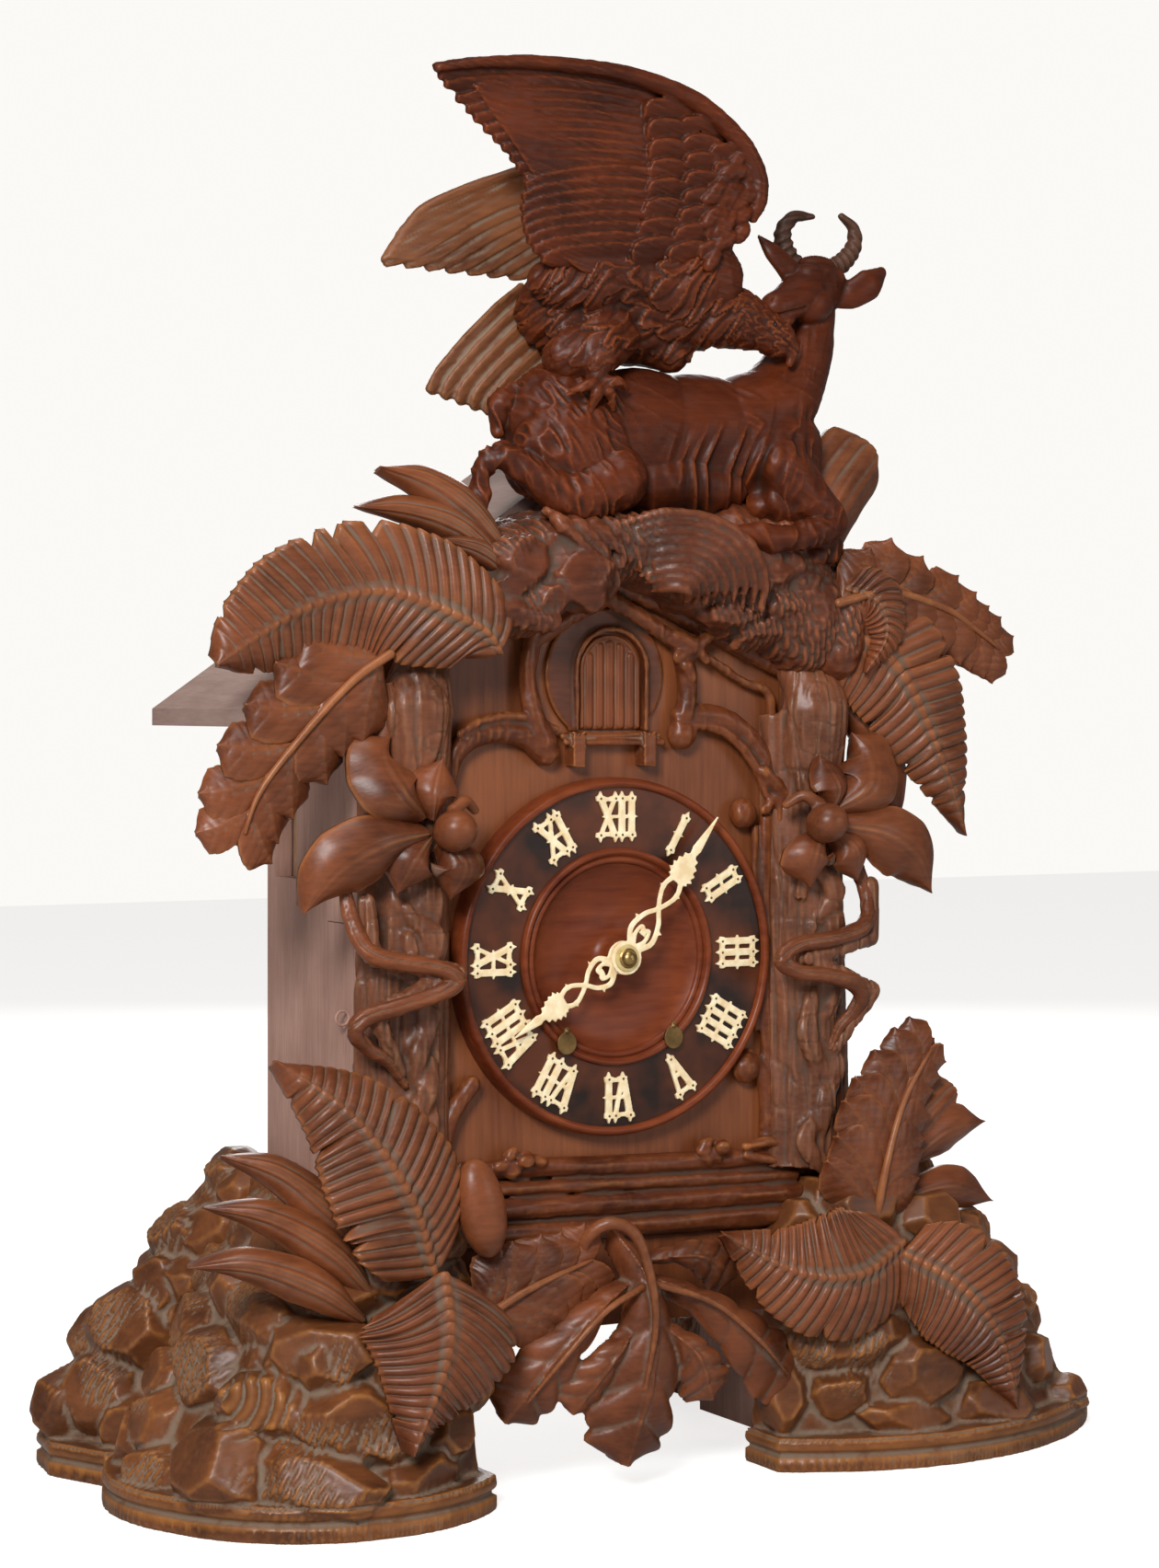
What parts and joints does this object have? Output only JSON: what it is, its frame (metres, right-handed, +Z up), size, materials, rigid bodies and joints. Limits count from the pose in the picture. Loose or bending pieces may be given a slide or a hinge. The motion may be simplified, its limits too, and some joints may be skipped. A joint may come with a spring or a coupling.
{
  "type": "cuckoo clock",
  "caption": "Free-standing carved wooden cuckoo clock on four rocky feet, with a turned dial, hands, a cuckoo behind a door, a gabled case and carved animals on the crest.",
  "frame": {"origin": "on the floor under the middle of the whole clock", "axes": "+Z up, -Y towards a person facing the dial, +X to that person's right"},
  "size_m": [0.7282, 0.323, 0.924],
  "materials": {
    "carved_walnut": "semi-gloss stained carving",
    "stained_board": "polished stained board",
    "plank": "matt stained planks",
    "dial_black": "ebonised and turned",
    "bone": "carved bone",
    "horn": "ribbed horn",
    "brass": "dull brass",
    "steel": "bright steel",
    "pale_wood": "unfinished",
    "bird_paint": "painted"
  },
  "bodies": {
    "case": {"back_gable": "plank", "bird_shelf": "pale_wood", "case_floor": "plank", "chamois": "carved_walnut", "chamois_horns": "horn", "crest_rocks": "carved_walnut", "dial": "dial_black", "eagle": "carved_walnut", "eagle_far_wing": "carved_walnut", "eagle_near_wing": "carved_walnut", "front_board": "stained_board", "front_frame": "carved_walnut", "front_left_rocks": "carved_walnut", "front_right_rocks": "carved_walnut", "gong": "steel", "left_base_leaves": "carved_walnut", "left_crest_leaves": "carved_walnut", "left_flower": "carved_walnut", "left_side_panel": "plank", "left_trunk": "carved_walnut", "movement_back_plate": "brass", "movement_front_plate": "brass", "movement_pillars": "brass", "numerals": "bone", "oak_leaf": "carved_walnut", "rear_left_rocks": "carved_walnut", "rear_right_rocks": "carved_walnut", "right_base_leaves": "carved_walnut", "right_crest_leaves": "carved_walnut", "right_flower": "carved_walnut", "right_side_panel": "plank", "right_trunk": "carved_walnut", "roof_left": "plank", "roof_right": "plank", "whistles": "pale_wood"},
    "back_door": {"back_door": "plank"},
    "left_hatch": {"left_hatch": "plank"},
    "left_keyhole_cover": {"left_keyhole_cover": "brass"},
    "right_keyhole_cover": {"right_keyhole_cover": "brass"},
    "minute_hand": {"minute_hand": "bone", "cannon_pinion": "brass", "hand_nut": "brass"},
    "hour_hand": {"hour_hand": "bone", "hour_wheel": "brass"},
    "minute_wheel": {"minute_wheel": "brass"},
    "going_barrel": {"going_barrel": "brass"},
    "second_wheel": {"second_wheel": "brass"},
    "centre_wheel": {"centre_wheel": "brass"},
    "third_wheel": {"third_wheel": "brass"},
    "escape_wheel": {"escape_wheel": "brass"},
    "strike_barrel": {"strike_barrel": "brass"},
    "pin_wheel": {"pin_wheel": "brass"},
    "fly": {"fly": "brass"},
    "pendulum": {"pendulum": "brass"},
    "anchor": {"anchor": "steel"},
    "hammer": {"hammer": "steel"},
    "left_bellows": {"left_bellows_lid": "pale_wood"},
    "right_bellows": {"right_bellows_lid": "pale_wood"},
    "cuckoo": {"cuckoo": "bird_paint"},
    "cuckoo_door": {"cuckoo_door": "carved_walnut"}
  },
  "joints": [
    {"name": "minute_turn", "type": "hinge", "parent": "case", "child": "minute_hand", "pos_m": [-0.041, -0.09852, 0.342], "axis": [0, 1, 0], "continuous": true},
    {"name": "hour_turn", "type": "hinge", "parent": "case", "child": "hour_hand", "pos_m": [-0.041, -0.09852, 0.342], "axis": [0, 1, 0], "continuous": true},
    {"name": "minute_wheel_turn", "type": "hinge", "parent": "case", "child": "minute_wheel", "pos_m": [-0.065, -0.05652, 0.342], "axis": [0, 1, 0], "continuous": true},
    {"name": "escape_turn", "type": "hinge", "parent": "case", "child": "escape_wheel", "pos_m": [-0.041, -0.01852, 0.384], "axis": [0, 1, 0], "continuous": true},
    {"name": "third_turn", "type": "hinge", "parent": "case", "child": "third_wheel", "pos_m": [-0.05509, -0.01852, 0.36433], "axis": [0, 1, 0], "continuous": true},
    {"name": "centre_turn", "type": "hinge", "parent": "case", "child": "centre_wheel", "pos_m": [-0.041, -0.01852, 0.342], "axis": [0, 1, 0], "continuous": true},
    {"name": "second_turn", "type": "hinge", "parent": "case", "child": "second_wheel", "pos_m": [-0.02176, -0.01852, 0.32278], "axis": [0, 1, 0], "continuous": true},
    {"name": "going_barrel_turn", "type": "hinge", "parent": "case", "child": "going_barrel", "pos_m": [-0.001, -0.01852, 0.288], "axis": [0, 1, 0], "continuous": true},
    {"name": "fly_turn", "type": "hinge", "parent": "case", "child": "fly", "pos_m": [-0.10318, -0.01852, 0.34951], "axis": [0, 1, 0], "continuous": true},
    {"name": "pin_wheel_turn", "type": "hinge", "parent": "case", "child": "pin_wheel", "pos_m": [-0.08803, -0.01852, 0.32788], "axis": [0, 1, 0], "continuous": true},
    {"name": "strike_barrel_turn", "type": "hinge", "parent": "case", "child": "strike_barrel", "pos_m": [-0.081, -0.01852, 0.288], "axis": [0, 1, 0], "continuous": true},
    {"name": "pendulum_swing", "type": "hinge", "parent": "case", "child": "pendulum", "pos_m": [-0.041, 0.01148, 0.41], "axis": [0, 1, 0], "range_deg": [-4, 4]},
    {"name": "anchor_rock", "type": "hinge", "parent": "case", "child": "anchor", "pos_m": [-0.041, -0.00652, 0.41], "axis": [0, 1, 0], "range_deg": [-4, 4]},
    {"name": "hammer_lift", "type": "hinge", "parent": "case", "child": "hammer", "pos_m": [-0.107, 0.03348, 0.3], "axis": [0, -1, 0], "range_deg": [0, 20]},
    {"name": "left_bellows_lift", "type": "hinge", "parent": "case", "child": "left_bellows", "pos_m": [-0.188, 0.05948, 0.4606], "axis": [-1, 0, 0], "range_deg": [0, 12]},
    {"name": "right_bellows_lift", "type": "hinge", "parent": "case", "child": "right_bellows", "pos_m": [0.106, 0.05948, 0.4606], "axis": [-1, 0, 0], "range_deg": [0, 12]},
    {"name": "left_hatch_swing", "type": "hinge", "parent": "case", "child": "left_hatch", "pos_m": [-0.216, -0.02202, 0.3015], "axis": [0, 0, -1], "range_deg": [0, 100]},
    {"name": "back_door_swing", "type": "hinge", "parent": "case", "child": "back_door", "pos_m": [0.1215, 0.07448, 0.335], "axis": [0, 0, -1], "range_deg": [0, 100]},
    {"name": "left_cover_swing", "type": "hinge", "parent": "case", "child": "left_keyhole_cover", "pos_m": [-0.081, -0.09652, 0.295], "axis": [0, 1, 0], "range_deg": [0, 100]},
    {"name": "right_cover_swing", "type": "hinge", "parent": "case", "child": "right_keyhole_cover", "pos_m": [-0.001, -0.09652, 0.295], "axis": [0, -1, 0], "range_deg": [0, 100]},
    {"name": "cuckoo_slide", "type": "slide", "parent": "case", "child": "cuckoo", "axis": [0, -1, 0], "range_m": [0, 0.045]},
    {"name": "cuckoo_door_swing", "type": "hinge", "parent": "case", "child": "cuckoo_door", "pos_m": [-0.064, -0.08372, 0.521], "axis": [0, 0, -1], "range_deg": [0, 100]}
  ],
  "couplings": [
    {"joint": "hour_turn", "follows": "minute_turn", "ratio": 0.083333},
    {"joint": "minute_wheel_turn", "follows": "minute_turn", "ratio": -0.33333},
    {"joint": "third_turn", "follows": "escape_turn", "ratio": -0.1},
    {"joint": "centre_turn", "follows": "escape_turn", "ratio": 0.01},
    {"joint": "second_turn", "follows": "escape_turn", "ratio": -0.0013333},
    {"joint": "going_barrel_turn", "follows": "escape_turn", "ratio": 0.00016667},
    {"joint": "pin_wheel_turn", "follows": "fly_turn", "ratio": -0.1},
    {"joint": "strike_barrel_turn", "follows": "fly_turn", "ratio": 0.0125},
    {"joint": "anchor_rock", "follows": "pendulum_swing", "ratio": 1},
    {"joint": "cuckoo_door_swing", "follows": "cuckoo_slide", "rad_per_m": 38.78}
  ]
}
